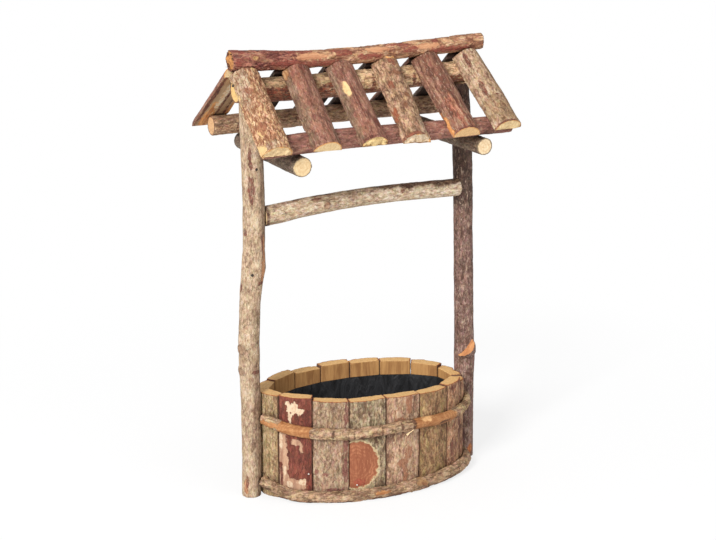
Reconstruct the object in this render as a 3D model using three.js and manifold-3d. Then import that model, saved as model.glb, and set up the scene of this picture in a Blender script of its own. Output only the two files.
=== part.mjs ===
import * as THREE from 'three';
import Module from 'manifold-3d';
import { mergeVertices } from 'three/addons/utils/BufferGeometryUtils.js';

// A wishing well planter nailed together from branches: an oval basin of upright staves with bent
// hoops, two posts with a crossbar, and a pitched roof of half-round slats under a ridge cap.
// Millimetres, +X along the ridge, +Y to the back, +Z up, origin on the ground inside the basin.

const wasm = await Module();
wasm.setup();

const degree = Math.PI / 180;
const halfTurn = Math.PI;
const up = new THREE.Vector3(0, 0, 1);

// Fit
const clearance = 0.3; // left between two pieces that touch
const seatDepth = 0.8; // how far one log beds into the next

// Basin
const basinLength = 252; // over the staves, along the ridge
const basinWidth = 142;
const basinOffset = -1.5; // the basin's middle, from the midway point of the posts' row
const basinTurn = -3 * degree; // the basin stands a little askew between the posts
const staveHeight = 116;
const staveThickness = 14;
const staveGap = 0.45;
const staveEdgeDrop = 2.2; // how far the bark curves back towards a stave's edges
const boardThickness = 10;
const linerWall = 1.2;
const linerDrop = 18; // from the nominal stave top to the liner's rim

// Hoops
const hoopHeight = 11;
const upperHoopThickness = 6.5;
const lowerHoopThickness = 8.5;
const upperHoopLevel = 80.5; // centre line above the ground
const hoopFootGap = 0.8; // the lower hoops hang just clear of the ground
const hoopStopShare = 0.75; // how near the hoops come to a post's middle, of its radius

// Posts
const postRadius = 11.5;
const leftPostGap = 0.5; // from the basin's end to the post's nominal bark at the ground
const rightPostGap = -1.5; // less than nothing: the basin's end beds against it
const leftPostLean = 5;
const rightPostLean = 11.5;
const stubRadius = 11.5;
const stubReach = 13; // from the post's middle to the middle of the sawn face
const stubFlareShare = 1.15; // how much wider the stub is where it leaves the post
const stubLevelShare = 0.292; // of the post's length
const stubLean = new THREE.Vector3(-0.44, -0.74, 0.52).normalize();
const stubSawnFace = new THREE.Vector3(-0.84, -0.04, 0.54).normalize(); // the way the aslant cut looks

// Roof frame
const tieTop = 400.5; // where the purlins lie on the tie beams
const leftTieLength = 155;
const rightTieLength = 161;
const tieForward = 1; // both reach out further in front
const leftTieRadius = 11.2;
const rightTieRadius = 10;
const rightTieSkew = 2 * degree;
const purlinRadius = 10.8;
const purlinSpread = 137; // between the two purlins' centre lines
const purlinOverhang = 11.5; // past the posts' feet at both ends
const ridgeRadius = 12.8;
const ridgeRise = 49.3; // the ridge log's centre line above the purlins'
const ridgeLeftOverhang = 11.5; // past the left post's foot
const ridgeRightOverhang = 10.5;

// Roof covering
const slatWidth = 30;
const frontSlatThickness = 13.2;
const rearSlatThickness = 12;
const slatOverhang = 105; // from the ridge log's middle down to a slat's foot, along the slope
const ridgeGap = 1.6; // between the front and rear slats at the top
const capRadius = 10;
const capLeftOverhang = 6; // past the ridge log's end
const capRightOverhang = 3.5;

// Crossbar
const crossbarRadius = 9.6;
const crossbarLeftLevel = 320;
const crossbarRightLevel = 328;
const crossbarForward = 4; // its right end is nailed on a little in front of the post's middle
const crossbarLap = 2.5; // and reaches so far past the post's face

// Bark is never round: a slow oval and a slower ripple, as shares of a log's radius.
const ovalShare = 0.025;
const rippleShare = 0.015;

// Each log's shape. The share tables are evenly spaced along it: girth is a share of its radius,
// side and depth are how far its middle strays, in radii, along its own +X and +Y.
const postLeftShape = {
  grain: 0.6,
  girthShares: [0.93, 0.95, 0.96, 0.99, 1.03, 1.05, 1.06, 1.04, 1.0],
  sideShares: [0, 0.04, -0.02, -0.15, -0.09, 0.3, 0.38, 0.24, 0],
  depthShares: [0, 0.05, 0.1, 0.05, -0.05, -0.1, 0, 0.05, 0],
  knots: [
    { alongShare: 0.398, turn: 186 * degree, swellShare: 0.16, reachShare: 0.7 },
    { alongShare: 0.345, turn: 186 * degree, swellShare: 0.14, reachShare: 0.8 },
    { alongShare: 0.59, turn: -53 * degree, swellShare: 0.24, reachShare: 1.2 },
  ],
};
const postRightShape = {
  grain: 2.1,
  girthShares: [1.0, 1.0, 1.02, 1.0, 1.0, 0.98, 0.99, 0.99, 0.9],
  sideShares: [0, 0.05, 0.1, 0.16, 0.2, 0.22, 0.18, 0.08, -0.1],
  depthShares: [0, -0.05, -0.1, -0.05, 0.05, 0.1, 0.05, 0, 0],
  knots: [
    { alongShare: 0.285, turn: 10 * degree, swellShare: 0.14, reachShare: 1.2 },
    { alongShare: 0.7, turn: 230 * degree, swellShare: 0.08, reachShare: 0.8 },
  ],
};
const crossbarShape = {
  grain: 1.3,
  girthShares: [1.1, 1.02, 0.98, 0.96, 0.96, 0.98],
  sideShares: [0, 0, 0, 0, 0, 0],
  depthShares: [0, 0.34, 0.52, 0.5, 0.28, 0],
  knots: [{ alongShare: 0.3, turn: 130 * degree, swellShare: 0.18, reachShare: 0.7 }],
};
const ridgeShape = {
  grain: 0.2,
  girthShares: [1.04, 1.1, 1.12, 1.08, 1.0, 0.97],
  sideShares: [0, 0.05, 0, -0.05, 0, 0],
  depthShares: [0, -0.16, -0.18, -0.14, -0.05, 0],
  knots: [{ alongShare: 0.42, turn: 200 * degree, swellShare: 0.12, reachShare: 1.1 }],
};
const capShape = {
  grain: 2.7,
  girthShares: [1.15, 1.09, 1.0, 0.98, 0.97, 0.96, 0.95],
  sideShares: [0, 0.05, 0.05, 0, -0.05, 0, 0],
  depthShares: [0.34, 0.02, -0.17, -0.17, -0.04, 0.12, 0.3],
  knots: [{ alongShare: 0.1, turn: 110 * degree, swellShare: 0.12, reachShare: 0.9 }],
};
const purlinFrontShape = {
  grain: 1.8,
  girthShares: [1.08, 1.08, 1.05, 1.01, 0.97, 0.94],
  sideShares: [0, 0.06, 0.08, 0.04, 0, 0],
  depthShares: [0.03, 0.2, 0.2, 0.13, 0.06, 0],
  knots: [],
};
const purlinRearShape = {
  grain: 3.4,
  girthShares: [1.02, 1.0, 0.97, 0.96, 0.98, 1.0],
  sideShares: [0, -0.05, -0.05, 0, 0.05, 0],
  depthShares: [0, 0, 0, 0, 0, 0],
  knots: [{ alongShare: 0.62, turn: 90 * degree, swellShare: 0.08, reachShare: 0.8 }],
};
const tieShape = {
  grain: 0.9,
  girthShares: [1, 0.98, 1],
  sideShares: [0, 0, 0],
  depthShares: [0, 0, 0],
  knots: [],
};

// The slats' places are shares of the ridge log's length, at the slat's top and at its foot.
const frontSlatTopShares = [0.035, 0.235, 0.41, 0.598, 0.767, 0.94];
const frontSlatFootShares = [0.023, 0.217, 0.402, 0.568, 0.774, 0.956];
const frontSlatWidthShares = [1.22, 1.12, 1.1, 1.14, 1.17, 1.16];
const frontSlatReachShares = [1, 1, 1, 1.02, 1, 0.965];
const rearSlatTopShares = [0.02, 0.207, 0.414, 0.578, 0.75, 0.917];
const rearSlatFootShares = [0.014, 0.215, 0.412, 0.555, 0.727, 0.917];
const rearSlatWidthShares = [1.2, 1.02, 1.14, 1.12, 0.95, 1];
const rearSlatReachShares = [1, 0.98, 1.01, 1, 0.97, 1];

// The staves' edges go round the oval anticlockwise from its right end, as shares of its girth,
// with the heights of each stave's top at its two edges, as shares of the nominal height.
const staveEdgeShares = [
  -0.015, 0.045, 0.107, 0.17, 0.232, 0.295, 0.358, 0.42, 0.488, 0.551, 0.6146, 0.6806, 0.7498, 0.8196,
  0.8898, 0.9461,
];
const staveTopShares = [
  [0.92, 0.94], [0.96, 0.97], [0.985, 0.99], [1.0, 0.99], [1.01, 1.01], [0.99, 1.0], [1.02, 1.01],
  [1.0, 1.02], [1.03, 1.04], [1.05, 1.045], [1.02, 1.0], [0.995, 1.0], [0.995, 0.98], [0.97, 0.955],
  [0.965, 0.97], [0.92, 0.91],
];

// How far the middle of a hoop strays up or down along it, in hoop heights.
const upperFrontRiseShares = [1, 0.36, 0, -0.12, 0, -0.05, -0.3, -0.2, 0];
const upperRearRiseShares = [0, 0.15, 0.1, -0.1, 0.05, 0.15, 0];
const lowerFrontRiseShares = [1, 0.16, 0.05, 0, 0.05, 0.1, 0.2, 0.25, 0.1];
const lowerRearRiseShares = [0.1, 0.05, 0, 0.1, 0.05, 0, 0.1];

// Reads an evenly spaced table as one smooth curve.
function readSmooth(tableShares, share) {
  const points = tableShares.map((value, i) => new THREE.Vector2(i, value));
  return new THREE.SplineCurve(points).getPoint(THREE.MathUtils.clamp(share, 0, 1)).y;
}

function closed(geometry) {
  geometry.deleteAttribute('normal');
  geometry.deleteAttribute('uv');
  return mergeVertices(geometry);
}

function moveVertices(geometry, move) {
  const position = geometry.attributes.position;
  const point = new THREE.Vector3();
  for (let i = 0; i < position.count; i += 1) {
    point.fromBufferAttribute(position, i);
    move(point);
    position.setXYZ(i, point.x, point.y, point.z);
  }
  return closed(geometry);
}

// How thick the bark stands at a place on a log, as a share of its radius.
function barkShare(shape, radius, length, angle, along) {
  const share = along / length;
  let total = readSmooth(shape.girthShares, share);
  total += ovalShare * Math.cos(2 * angle + shape.grain);
  total += rippleShare * Math.sin(3 * angle + 2 * halfTurn * share + 2 * shape.grain);
  for (const knot of shape.knots) {
    const far = along - knot.alongShare * length;
    const round = 2 * radius * Math.sin((angle - knot.turn) / 2);
    const reach = knot.reachShare * radius;
    total += knot.swellShare * Math.exp(-(far * far + round * round) / (reach * reach));
  }
  return total;
}

// A branch along +Z from the origin. Grown by the clearance, it is what its neighbours are cut with.
function branchGeometry({ shape, radius, length, lean = 0, sides = 16, rings = 14, grow = 0 }) {
  const geometry = new THREE.CylinderGeometry(radius, radius, length, sides, rings);
  geometry.rotateX(halfTurn / 2);
  geometry.translate(0, 0, length / 2);
  return moveVertices(geometry, (point) => {
    const share = THREE.MathUtils.clamp(point.z / length, 0, 1);
    const angle = Math.atan2(point.y, point.x);
    const isRim = Math.hypot(point.x, point.y) > radius / 2;
    const reach = isRim ? radius * barkShare(shape, radius, length, angle, point.z) + grow : 0;
    point.x = reach * Math.cos(angle) + radius * readSmooth(shape.sideShares, share) + lean * share;
    point.y = reach * Math.sin(angle) + radius * readSmooth(shape.depthShares, share);
    if (share === 0) point.z -= grow;
    if (share === 1) point.z += grow;
  });
}

// A half-round log along +Z: its split face lies on Y = 0 and its bark swells towards +Y.
function splitLogGeometry({ width, thickness, length, grain, steps = 6, arcSteps = 10 }) {
  const radius = (width * width / 4 + thickness * thickness) / (2 * thickness);
  const edgeAngle = Math.atan2(radius - thickness, width / 2);
  const outline = new THREE.Shape();
  outline.absarc(0, thickness - radius, radius, edgeAngle, halfTurn - edgeAngle, false);
  const geometry = new THREE.ExtrudeGeometry(outline, {
    depth: length, steps, curveSegments: arcSteps, bevelEnabled: false,
  });
  return moveVertices(geometry, (point) => {
    const along = point.z / length;
    const angle = Math.atan2(point.y, point.x);
    const swell = rippleShare * Math.sin(2 * halfTurn * along + grain)
      + ovalShare * Math.cos(3 * angle + 4 * along + grain);
    point.x *= 1 + swell;
    point.y *= 1 + swell;
  });
}

// Puts a piece that is drawn along +Z between two points, with its +Y turned towards a direction.
function runBetween(from, to, towards) {
  const along = to.clone().sub(from).normalize();
  const side = towards.clone().cross(along).normalize();
  const above = along.clone().cross(side);
  return new THREE.Matrix4().makeBasis(side, above, along).setPosition(from);
}

function toSolid(geometry) {
  return new wasm.Manifold(new wasm.Mesh({
    numProp: 3,
    vertProperties: new Float32Array(geometry.attributes.position.array),
    triVerts: new Uint32Array(geometry.index.array),
  }));
}

function fromSolid(solid) {
  const mesh = solid.getMesh();
  const geometry = new THREE.BufferGeometry();
  geometry.setAttribute('position', new THREE.BufferAttribute(mesh.vertProperties, 3));
  geometry.setIndex(new THREE.BufferAttribute(mesh.triVerts, 1));
  return geometry;
}

function cutBy(geometry, cutters) {
  let solid = toSolid(geometry);
  for (const cutter of cutters) solid = solid.subtract(toSolid(cutter));
  return fromSolid(solid);
}

const planter = new THREE.Group();
const basin = new THREE.Group();
basin.rotation.z = basinTurn;
basin.position.x = basinOffset;
planter.add(basin);

function barkMaterial(colour, roughness = 0.85) {
  return new THREE.MeshStandardMaterial({ color: colour, roughness, metalness: 0 });
}

function addMesh(group, name, geometry, colour) {
  geometry.computeVertexNormals();
  const mesh = new THREE.Mesh(geometry, barkMaterial(colour));
  mesh.name = name;
  group.add(mesh);
  return mesh;
}

// A log lies where its matrix puts it and is cut, in place, by the logs that it beds onto.
function addLog(name, geometry, matrix, colour, cutters = []) {
  const inPlace = cutBy(geometry.clone().applyMatrix4(matrix), cutters);
  const mesh = addMesh(planter, name, inPlace.applyMatrix4(matrix.clone().invert()), colour);
  mesh.applyMatrix4(matrix);
}

// Roof lines, worked out from the frame
const leftTieLevel = tieTop - leftTieRadius;
const rightTieLevel = tieTop - rightTieRadius;
const purlinLevel = tieTop + purlinRadius - seatDepth;
const ridgeLevel = purlinLevel + ridgeRise;
const purlinReach = purlinSpread / 2;
const ridgeSeat = ridgeRadius + clearance - seatDepth;
const purlinSeat = purlinRadius + clearance - seatDepth;
const ridgeToPurlin = Math.hypot(purlinReach, ridgeRise);
const pitch = Math.atan2(ridgeRise, purlinReach) + Math.asin((ridgeSeat - purlinSeat) / ridgeToPurlin);
const slatHead = (ridgeSeat * Math.sin(pitch) - ridgeGap / 2) / Math.cos(pitch);
const capLevel = ridgeLevel + (capRadius + slatHead - seatDepth) / Math.sin(pitch);

// Posts
const postLength = ridgeLevel - ridgeRadius + seatDepth;
const leftPostFoot = basinOffset - basinLength / 2 - leftPostGap - postRadius;
const rightPostFoot = basinOffset + basinLength / 2 + rightPostGap + postRadius;
const posts = {
  left: { side: -1, foot: leftPostFoot, shape: postLeftShape, lean: leftPostLean },
  right: { side: 1, foot: rightPostFoot, shape: postRightShape, lean: -rightPostLean },
};

function postGeometry(post, grow = 0) {
  return branchGeometry({
    shape: post.shape, radius: postRadius, length: postLength, lean: post.lean, rings: 22, grow,
  });
}

// The post's face towards the middle of the well, at a height above the ground.
function innerFace(post, level) {
  const share = level / postLength;
  const middle = post.foot + post.lean * share
    + postRadius * readSmooth(post.shape.sideShares, share);
  return middle - post.side * postRadius * readSmooth(post.shape.girthShares, share);
}

const postCutters = {};
for (const [key, post] of Object.entries(posts)) {
  postCutters[key] = postGeometry(post, clearance).translate(post.foot, 0, 0);
}

// Ridge log, on the posts
const ridgeStart = leftPostFoot - ridgeLeftOverhang;
const ridgeLength = rightPostFoot + ridgeRightOverhang - ridgeStart;
const ridgeFrom = new THREE.Vector3(ridgeStart, 0, ridgeLevel);
const ridgeTo = new THREE.Vector3(ridgeStart + ridgeLength, 0, ridgeLevel);
const ridgeMatrix = runBetween(ridgeFrom, ridgeTo, up);
const ridgeLog = { shape: ridgeShape, radius: ridgeRadius, length: ridgeLength, rings: 16 };
const ridgeCutter = branchGeometry({ ...ridgeLog, grow: clearance }).applyMatrix4(ridgeMatrix);
addLog('ridge_log', branchGeometry(ridgeLog), ridgeMatrix, 0x9a7653);

// The right post's side branch leans up and forward and is sawn off close to the post, aslant.
function stubGeometry() {
  const length = stubReach + 2 * stubRadius;
  const foot = new THREE.Vector3(0, 0, stubLevelShare * postLength);
  const tip = foot.clone().addScaledVector(stubLean, length);
  const branch = new THREE.CylinderGeometry(stubRadius, stubRadius * stubFlareShare, length, 14, 1);
  branch.translate(0, length / 2, 0);
  branch.rotateX(halfTurn / 2);
  branch.applyMatrix4(runBetween(foot, tip, up));
  const sawnAt = foot.clone().addScaledVector(stubLean, stubReach);
  const offcut = new THREE.BoxGeometry(2 * length, 2 * length, 2 * length);
  offcut.translate(0, 0, length);
  offcut.applyMatrix4(runBetween(sawnAt, sawnAt.clone().add(stubSawnFace), up));
  return cutBy(closed(branch), [closed(offcut)]);
}

function addPosts() {
  const leftMatrix = new THREE.Matrix4().makeTranslation(posts.left.foot, 0, 0);
  addLog('post_left', postGeometry(posts.left), leftMatrix, 0xb49a7a, [ridgeCutter]);
  const rightMatrix = new THREE.Matrix4().makeTranslation(posts.right.foot, 0, 0);
  const withStub = fromSolid(toSolid(postGeometry(posts.right)).add(toSolid(stubGeometry())));
  addLog('post_right', withStub, rightMatrix, 0x7d6557, [ridgeCutter]);
}
addPosts();

// Tie beams, against the posts' inner faces
function tieMatrix(post, radius, length, level, skew) {
  const middle = innerFace(post, level) - post.side * (radius - seatDepth) / Math.cos(skew);
  const front = length / 2 + tieForward;
  const rear = length / 2 - tieForward;
  const from = new THREE.Vector3(middle + front * Math.sin(skew), -front * Math.cos(skew), level);
  const to = new THREE.Vector3(middle - rear * Math.sin(skew), rear * Math.cos(skew), level);
  return runBetween(from, to, up);
}

const leftTieMatrix = tieMatrix(posts.left, leftTieRadius, leftTieLength, leftTieLevel, 0);
const rightTieMatrix = tieMatrix(posts.right, rightTieRadius, rightTieLength, rightTieLevel, rightTieSkew);
const leftTie = { shape: tieShape, radius: leftTieRadius, length: leftTieLength, rings: 8 };
const rightTie = { shape: tieShape, radius: rightTieRadius, length: rightTieLength, rings: 8 };
addLog('tie_beam_left', branchGeometry(leftTie), leftTieMatrix, 0x6b5a4a, [postCutters.left]);
addLog('tie_beam_right', branchGeometry(rightTie), rightTieMatrix, 0x5d4a3c, [postCutters.right]);
const tieCutters = [
  branchGeometry({ ...leftTie, grow: clearance }).applyMatrix4(leftTieMatrix),
  branchGeometry({ ...rightTie, grow: clearance }).applyMatrix4(rightTieMatrix),
];

// Purlins, on the tie beams
const purlinStart = leftPostFoot - purlinOverhang;
const purlinLength = rightPostFoot + purlinOverhang - purlinStart;

function purlinMatrix(y) {
  const from = new THREE.Vector3(purlinStart, y, purlinLevel);
  const to = new THREE.Vector3(purlinStart + purlinLength, y, purlinLevel);
  return runBetween(from, to, up);
}

const purlins = { front: purlinFrontShape, rear: purlinRearShape };
const purlinColours = { front: 0x7a4f4a, rear: 0x66564a };
const purlinCutters = {};
for (const [key, shape] of Object.entries(purlins)) {
  const matrix = purlinMatrix(key === 'front' ? -purlinReach : purlinReach);
  const log = { shape, radius: purlinRadius, length: purlinLength, rings: 16 };
  addLog(`purlin_${key}`, branchGeometry(log), matrix, purlinColours[key], tieCutters);
  purlinCutters[key] = branchGeometry({ ...log, grow: clearance }).applyMatrix4(matrix);
}

// Ridge cap, in the V between the sawn heads of the slats
const capStart = ridgeStart - capLeftOverhang;
const capLength = ridgeStart + ridgeLength + capRightOverhang - capStart;
const capFrom = new THREE.Vector3(capStart, 0, capLevel);
const capTo = new THREE.Vector3(capStart + capLength, 0, capLevel);
const capMatrix = runBetween(capFrom, capTo, up);
const capLog = { shape: capShape, radius: capRadius, length: capLength, rings: 18 };
const capCutter = branchGeometry({ ...capLog, grow: clearance }).applyMatrix4(capMatrix);
addLog('ridge_cap', branchGeometry(capLog), capMatrix, 0x9b5f4c);

// Slats, split face down across the ridge log and a purlin
function slatPoint(side, x, along, out) {
  const y = side * (out * Math.sin(pitch) - along * Math.cos(pitch));
  return new THREE.Vector3(x, y, ridgeLevel + along * Math.sin(pitch) + out * Math.cos(pitch));
}

function addSlats(key, side, thickness, tops, feet, widths, reaches, colours) {
  const cutters = [ridgeCutter, purlinCutters[key], capCutter];
  const outwards = new THREE.Vector3(0, side * Math.sin(pitch), Math.cos(pitch));
  tops.forEach((topShare, i) => {
    const footX = ridgeStart + feet[i] * ridgeLength;
    const topX = ridgeStart + topShare * ridgeLength;
    const from = slatPoint(side, footX, -slatOverhang * reaches[i], ridgeSeat);
    const to = slatPoint(side, topX, slatHead, ridgeSeat);
    const geometry = splitLogGeometry({
      width: slatWidth * widths[i],
      thickness: thickness * widths[i],
      length: from.distanceTo(to),
      grain: i + side,
    });
    addLog(`slat_${key}_${i + 1}`, geometry, runBetween(from, to, outwards), colours[i], cutters);
  });
}

const frontSlatColours = [0xa98767, 0x865c52, 0x7c5850, 0x937b62, 0x88584a, 0xa48c70];
const rearSlatColours = [0x6f4a40, 0x66564a, 0x7a5a4c, 0x5f5044, 0x6e5248, 0x66564a];
addSlats('front', -1, frontSlatThickness, frontSlatTopShares, frontSlatFootShares,
  frontSlatWidthShares, frontSlatReachShares, frontSlatColours);
addSlats('rear', 1, rearSlatThickness, rearSlatTopShares, rearSlatFootShares,
  rearSlatWidthShares, rearSlatReachShares, rearSlatColours);

// Crossbar, between the posts' inner faces
const crossbarFrom = new THREE.Vector3(innerFace(posts.left, crossbarLeftLevel), 0, crossbarLeftLevel);
const crossbarTo = new THREE.Vector3(innerFace(posts.right, crossbarRightLevel), 0, crossbarRightLevel);
crossbarFrom.x -= seatDepth;
crossbarTo.x += crossbarLap;
crossbarTo.y -= crossbarForward;
const crossbar = branchGeometry({
  shape: crossbarShape, radius: crossbarRadius, length: crossbarFrom.distanceTo(crossbarTo), rings: 12,
});
addLog('crossbar', crossbar, runBetween(crossbarFrom, crossbarTo, up), 0xa98b69,
  [postCutters.left, postCutters.right]);

// Basin. The oval is the line that the crests of the staves' bark touch.
const oval = new THREE.EllipseCurve(0, 0, basinLength / 2, basinWidth / 2);
oval.arcLengthDivisions = 720;
const ovalGirth = oval.getLength();
const basinCutters = Object.values(postCutters).map((cutter) => (
  cutter.clone().translate(-basinOffset, 0, 0).rotateZ(-basinTurn)));

// A point beside the oval, at a share of its girth and so far outside it.
function ovalPoint(share, out) {
  const turnShare = THREE.MathUtils.euclideanModulo(share, 1);
  const point = oval.getPointAt(turnShare);
  const tangent = oval.getTangentAt(turnShare);
  return point.add(new THREE.Vector2(tangent.y, -tangent.x).multiplyScalar(out));
}

// The oval's share nearest to a post.
function shareNearPost(post) {
  const middle = new THREE.Vector2(post.foot - basinOffset, 0);
  middle.rotateAround(new THREE.Vector2(), -basinTurn);
  const steps = 400;
  let best = 0;
  for (let i = 1; i < steps; i += 1) {
    const isNearer = ovalPoint(i / steps, 0).distanceTo(middle) < ovalPoint(best, 0).distanceTo(middle);
    if (isNearer) best = i / steps;
  }
  return best;
}

// The flat back of a stave, as its two ends, moved inwards by an extra inset.
function staveBack(index, inset) {
  const from = staveEdgeShares[index];
  const to = index + 1 < staveEdgeShares.length ? staveEdgeShares[index + 1] : staveEdgeShares[0] + 1;
  return [ovalPoint(from, -inset), ovalPoint(to, -inset), from, to];
}

function staveGeometry(index) {
  const [backFrom, backTo, from, to] = staveBack(index, staveThickness);
  const edgeShare = staveGap / 2 / ovalGirth;
  const arcSteps = 8;
  const along = backTo.clone().sub(backFrom).setLength(staveGap / 2);
  const outline = new THREE.Shape();
  outline.moveTo(backFrom.x + along.x, backFrom.y + along.y);
  for (let i = arcSteps; i >= 0; i -= 1) {
    const across = 1 - i / arcSteps;
    const share = THREE.MathUtils.lerp(from + edgeShare, to - edgeShare, across);
    const fromCrest = 2 * across - 1;
    const point = ovalPoint(share, -staveEdgeDrop * fromCrest * fromCrest);
    outline.lineTo(point.x, point.y);
  }
  outline.lineTo(backTo.x - along.x, backTo.y - along.y);
  const geometry = new THREE.ExtrudeGeometry(outline, { depth: staveHeight, steps: 3, bevelEnabled: false });
  const [fromTop, toTop] = staveTopShares[index];
  const width = backTo.distanceTo(backFrom);
  return moveVertices(geometry, (point) => {
    const offset = new THREE.Vector2(point.x, point.y).sub(backFrom);
    const across = THREE.MathUtils.clamp(offset.dot(along) / along.length() / width, 0, 1);
    point.z *= THREE.MathUtils.lerp(fromTop, toTop, across);
  });
}

const staveColours = [
  0x8d7a5c, 0x86705a, 0x917a60, 0x7e6350, 0x8a7458, 0x93795f, 0x7d6652, 0x8b7a5e, 0x9a875f, 0x7a3f36,
  0x9d8164, 0x8b7a58, 0xa3806a, 0x85724f, 0x8c5f4c, 0x9b7a58,
];
staveEdgeShares.forEach((_, i) => {
  const geometry = cutBy(staveGeometry(i), basinCutters);
  addMesh(basin, `stave_${i + 1}`, geometry, staveColours[i]);
});

// The many-sided line just inside the staves, drawn in by a gap.
function innerOutline(gap) {
  const corners = staveEdgeShares.map((share) => ovalPoint(share, -staveThickness - gap));
  return new THREE.Shape(corners);
}

const board = new THREE.ExtrudeGeometry(innerOutline(clearance), {
  depth: boardThickness, bevelEnabled: false,
});
addMesh(basin, 'bottom_board', closed(board), 0xb08a5c);

// Liner: an open tub on the board
function linerGeometry() {
  const foot = boardThickness + clearance;
  const height = staveHeight - linerDrop - foot;
  const outside = new THREE.ExtrudeGeometry(innerOutline(clearance), { depth: height, bevelEnabled: false });
  const inside = new THREE.ExtrudeGeometry(innerOutline(clearance + linerWall), {
    depth: height, bevelEnabled: false,
  });
  outside.translate(0, 0, foot);
  inside.translate(0, 0, foot + linerWall);
  return cutBy(closed(outside), [closed(inside)]);
}
addMesh(basin, 'liner', linerGeometry(), 0x22211f);

// Hoops: half-round branches bent round the staves from post to post. Each step of one is straight, so
// it dips towards the staves by its sagitta, which is largest at the oval's sharp ends.
const hoopSteps = 26;
const ovalEndRadius = basinWidth * basinWidth / basinLength / 2;
const hoopStep = ovalGirth / 2 / hoopSteps;
const hoopGap = clearance + hoopStep * hoopStep / ovalEndRadius / 8;

function hoopGeometry(fromShare, toShare, level, thickness, riseShares, grain) {
  const length = (toShare - fromShare) * ovalGirth;
  const straight = splitLogGeometry({
    width: hoopHeight, thickness, length, grain, steps: hoopSteps, arcSteps: 5,
  });
  const bent = moveVertices(straight, (point) => {
    const along = THREE.MathUtils.clamp(point.z / length, 0, 1);
    const beside = ovalPoint(THREE.MathUtils.lerp(fromShare, toShare, along), hoopGap + point.y);
    point.z = level + point.x + hoopHeight * readSmooth(riseShares, along);
    point.x = beside.x;
    point.y = beside.y;
  });
  return cutBy(bent, basinCutters);
}

const stopShare = hoopStopShare * postRadius / ovalGirth;
const leftShare = shareNearPost(posts.left);
const rightShare = shareNearPost(posts.right);
const lowerHoopLevel = hoopFootGap + hoopHeight / 2;
const frontHoop = [leftShare + stopShare, 1 + rightShare - stopShare];
const rearHoop = [rightShare + stopShare, leftShare - stopShare];
const hoops = [
  ['hoop_upper_front', frontHoop, upperHoopLevel, upperHoopThickness, upperFrontRiseShares, 0xa77b4e],
  ['hoop_upper_rear', rearHoop, upperHoopLevel, upperHoopThickness, upperRearRiseShares, 0x8f7656],
  ['hoop_lower_front', frontHoop, lowerHoopLevel, lowerHoopThickness, lowerFrontRiseShares, 0x95714f],
  ['hoop_lower_rear', rearHoop, lowerHoopLevel, lowerHoopThickness, lowerRearRiseShares, 0x8a6d50],
];
hoops.forEach(([name, [from, to], level, thickness, riseShares, colour], i) => {
  addMesh(basin, name, hoopGeometry(from, to, level, thickness, riseShares, i), colour);
});

export default planter;
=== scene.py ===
# Dresses the wishing well planter: bark, sawn ends, peeled patches and nails on the frame's branches.
import math

import bmesh
import bpy
import numpy as np
from mathutils import Matrix, Vector, kdtree, noise


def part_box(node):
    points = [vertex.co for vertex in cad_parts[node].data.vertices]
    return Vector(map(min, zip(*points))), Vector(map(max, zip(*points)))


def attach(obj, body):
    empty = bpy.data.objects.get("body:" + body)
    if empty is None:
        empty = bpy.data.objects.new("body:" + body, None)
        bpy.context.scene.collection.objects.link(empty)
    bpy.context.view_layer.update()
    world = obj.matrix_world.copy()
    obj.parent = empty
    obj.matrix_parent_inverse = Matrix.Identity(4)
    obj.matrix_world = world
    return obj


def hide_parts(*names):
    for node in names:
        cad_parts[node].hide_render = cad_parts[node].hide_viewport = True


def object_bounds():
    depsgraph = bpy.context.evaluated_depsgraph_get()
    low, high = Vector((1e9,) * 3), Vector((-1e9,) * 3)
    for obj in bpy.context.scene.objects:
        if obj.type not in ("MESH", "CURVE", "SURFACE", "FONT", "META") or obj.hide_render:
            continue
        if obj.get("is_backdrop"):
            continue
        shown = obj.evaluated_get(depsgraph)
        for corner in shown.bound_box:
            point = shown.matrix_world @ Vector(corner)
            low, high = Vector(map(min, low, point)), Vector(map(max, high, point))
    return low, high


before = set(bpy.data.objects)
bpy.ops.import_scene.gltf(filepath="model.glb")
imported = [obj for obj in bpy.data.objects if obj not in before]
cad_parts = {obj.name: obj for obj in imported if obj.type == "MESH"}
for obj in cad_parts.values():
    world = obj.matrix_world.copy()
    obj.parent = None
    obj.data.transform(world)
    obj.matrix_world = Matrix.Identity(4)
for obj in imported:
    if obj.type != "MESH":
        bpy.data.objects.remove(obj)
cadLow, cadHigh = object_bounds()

noise.seed_set(5)  # so that noise_vector is the same in each run
mm = 0.001
up = Vector((0, 0, 1))
front = Vector((0, -1, 0))
right = Vector((1, 0, 0))


# Colours are written as on a paint chart, 0 to 255, and used as linear light.
def tone(red, green, blue):
    channels = [value / 255 for value in (red, green, blue)]
    linear = [c / 12.92 if c <= 0.04045 else ((c + 0.055) / 1.055) ** 2.4 for c in channels]
    return (*linear, 1.0)


# In a look a tuple is a colour, and a list is a row of them from dark to pale.
def inLight(value):
    if isinstance(value, tuple):
        return tone(*value)
    return [tone(*each) for each in value] if isinstance(value, list) else value


# Camera, at the photograph's angle
viewPoint = {
    "turn": 26.88,  # degrees round to the left of the front
    "tilt": 16.0,
    "distance": 2.09606,
    "target": (-0.00563, 0, 0.24512),
    "lens": 94.22,
    "clip": (0.05, 50),
}


def addObject(name, data):
    item = bpy.data.objects.new(name, data)
    bpy.context.scene.collection.objects.link(item)
    return item


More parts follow.
